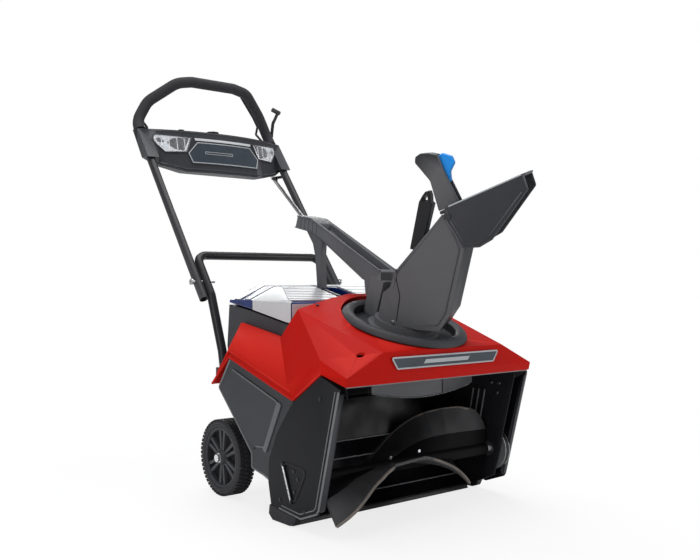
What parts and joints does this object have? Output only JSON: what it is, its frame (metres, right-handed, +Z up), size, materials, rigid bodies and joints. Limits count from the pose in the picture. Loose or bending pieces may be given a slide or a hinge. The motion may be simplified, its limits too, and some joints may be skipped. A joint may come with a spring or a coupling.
{
  "type": "single stage snowblower",
  "caption": "Battery single-stage snowblower with a paddle rotor, turning chute with a pitching deflector, lidded battery box and folding loop handle.",
  "frame": {"origin": "on the ground, under the middle of the whole machine", "axes": "+X to the operator's left, +Y rearwards from the intake to the handle, +Z up"},
  "size_m": [0.5588, 1.1962, 1.0885],
  "materials": {
    "red_shell": "satin moulded red",
    "black_steel": "black powder coat",
    "black_plastic": "matt black moulding",
    "charcoal_plastic": "grained charcoal moulding",
    "grey_plastic": "worn grey moulding",
    "bare_steel": "ground steel",
    "zinc_fasteners": "bright zinc plate",
    "black_rubber": "reinforced rubber",
    "belt_rubber": "ribbed belt",
    "tyre_rubber": "matt tread",
    "cast_alloy": "cast alloy",
    "badge_plate": "plain slate plate, no lettering",
    "battery_case": "battery pack case",
    "lid_shell": "navy band with pale ribbed panels",
    "blue_plastic": "bright blue moulding",
    "black_tube": "black powder-coated tube",
    "soft_grip": "foam grip",
    "lamp_lens": "clear ribbed lens",
    "lamp_strip": "white light strip",
    "key_plastic": "key plastic"
  },
  "bodies": {
    "machine": {"right_side_plate": "black_steel", "left_side_plate": "black_steel", "auger_housing": "black_plastic", "belt_side_wall": "black_plastic", "throat_plate": "grey_plastic", "scraper_bar": "black_plastic", "discharge_duct": "black_plastic", "rotor_bearings": "bare_steel", "drive_belt": "belt_rubber", "drive_motor": "cast_alloy", "main_frame": "black_plastic", "wheel_axle": "bare_steel", "axle_nuts": "zinc_fasteners", "hood": "red_shell", "hood_badge": "badge_plate", "right_side_cover": "charcoal_plastic", "left_side_cover": "charcoal_plastic", "battery_box": "charcoal_plastic", "right_battery_pack": "battery_case", "left_battery_pack": "battery_case", "chute_ring": "charcoal_plastic", "chute_tower": "charcoal_plastic", "lower_handle": "black_tube", "handle_brackets": "black_plastic", "fold_bolts": "zinc_fasteners", "body_screws": "zinc_fasteners"},
    "motor_rotor": {"motor_shaft": "bare_steel", "motor_pulley": "cast_alloy"},
    "clearing_rotor": {"rotor_shaft": "bare_steel", "rotor_core": "black_steel", "front_paddle": "black_rubber", "rear_paddle": "black_rubber", "rotor_pulley": "cast_alloy"},
    "right_wheel": {"right_hub": "black_plastic", "right_tyre": "tyre_rubber"},
    "left_wheel": {"left_hub": "black_plastic", "left_tyre": "tyre_rubber"},
    "chute": {"lower_chute": "charcoal_plastic", "chute_gear": "black_plastic", "chute_rack": "black_plastic", "deflector_pin": "zinc_fasteners", "chute_bolts": "zinc_fasteners"},
    "deflector": {"deflector": "charcoal_plastic", "deflector_handle": "charcoal_plastic"},
    "deflector_trigger": {"deflector_trigger": "blue_plastic"},
    "chute_pinion": {"chute_pinion": "black_plastic"},
    "control_rod": {"control_rod": "black_tube", "lever_knob": "black_plastic"},
    "battery_lid": {"battery_lid": "lid_shell"},
    "upper_handle": {"upper_handle": "black_tube", "handle_grip": "soft_grip", "console_front": "charcoal_plastic", "console_back": "black_plastic", "headlight_lenses": "lamp_lens", "light_strip": "lamp_strip", "console_badge": "badge_plate", "rod_guide": "black_plastic"},
    "control_bail": {"control_bail": "black_tube"},
    "start_button": {"start_button": "black_plastic"},
    "safety_key": {"safety_key": "key_plastic"}
  },
  "joints": [
    {"name": "rotor_spin", "type": "hinge", "parent": "machine", "child": "clearing_rotor", "pos_m": [0, -0.32027, 0.106], "axis": [1, 0, 0], "continuous": true},
    {"name": "motor_spin", "type": "hinge", "parent": "machine", "child": "motor_rotor", "pos_m": [0, -0.08527, 0.14], "axis": [1, 0, 0], "continuous": true},
    {"name": "right_wheel_spin", "type": "hinge", "parent": "machine", "child": "right_wheel", "pos_m": [0, 0.05533, 0.089], "axis": [1, 0, 0], "continuous": true},
    {"name": "left_wheel_spin", "type": "hinge", "parent": "machine", "child": "left_wheel", "pos_m": [0, 0.05533, 0.089], "axis": [1, 0, 0], "continuous": true},
    {"name": "chute_turn", "type": "hinge", "parent": "machine", "child": "chute", "pos_m": [0, -0.29527, 0.4013], "axis": [0, -0.309, 0.9511], "range_deg": [-133, 67]},
    {"name": "deflector_tilt", "type": "hinge", "parent": "chute", "child": "deflector", "pos_m": [0.02941, -0.42116, 0.64219], "axis": [0.8387, 0.518, 0.1683], "range_deg": [-5, 40]},
    {"name": "trigger_squeeze", "type": "hinge", "parent": "deflector", "child": "deflector_trigger", "pos_m": [0.00381, -0.40932, 0.73331], "axis": [0.8387, 0.518, 0.1683], "range_deg": [0, 10], "stiffness_Nm_per_rad": 0.4, "springref_deg": -8.59},
    {"name": "pinion_turn", "type": "hinge", "parent": "machine", "child": "chute_pinion", "pos_m": [0, -0.20112, 0.43189], "axis": [0, -0.309, 0.9511], "range_deg": [-376, 746]},
    {"name": "control_rod_turn", "type": "hinge", "parent": "machine", "child": "control_rod", "pos_m": [0, 0.05473, 0.641], "axis": [0.4011, 0.861, 0.3127], "range_deg": [-67, 34]},
    {"name": "battery_lid_hinge", "type": "hinge", "parent": "machine", "child": "battery_lid", "pos_m": [0, 0.11573, 0.45], "axis": [-1, 0, 0], "range_deg": [0, 80]},
    {"name": "handle_fold", "type": "hinge", "parent": "machine", "child": "upper_handle", "pos_m": [0, 0.22373, 0.498], "axis": [1, 0, 0], "range_deg": [0, 70]},
    {"name": "bail_squeeze", "type": "hinge", "parent": "upper_handle", "child": "control_bail", "pos_m": [0, 0.55273, 0.93], "axis": [1, 0, 0], "range_deg": [0, 4], "stiffness_Nm_per_rad": 1.5, "springref_deg": -14.32},
    {"name": "start_button_press", "type": "slide", "parent": "upper_handle", "child": "start_button", "axis": [0, 0, -1], "range_m": [0, 0.003], "stiffness_N_per_m": 600, "springref_m": -0.002},
    {"name": "safety_key_pull", "type": "slide", "parent": "upper_handle", "child": "safety_key", "axis": [0, 0, 1], "range_m": [0, 0.02]}
  ],
  "couplings": [
    {"joint": "motor_spin", "follows": "rotor_spin", "ratio": 2.875},
    {"joint": "pinion_turn", "follows": "chute_turn", "ratio": -5.6},
    {"joint": "control_rod_turn", "follows": "chute_turn", "ratio": 0.5}
  ]
}
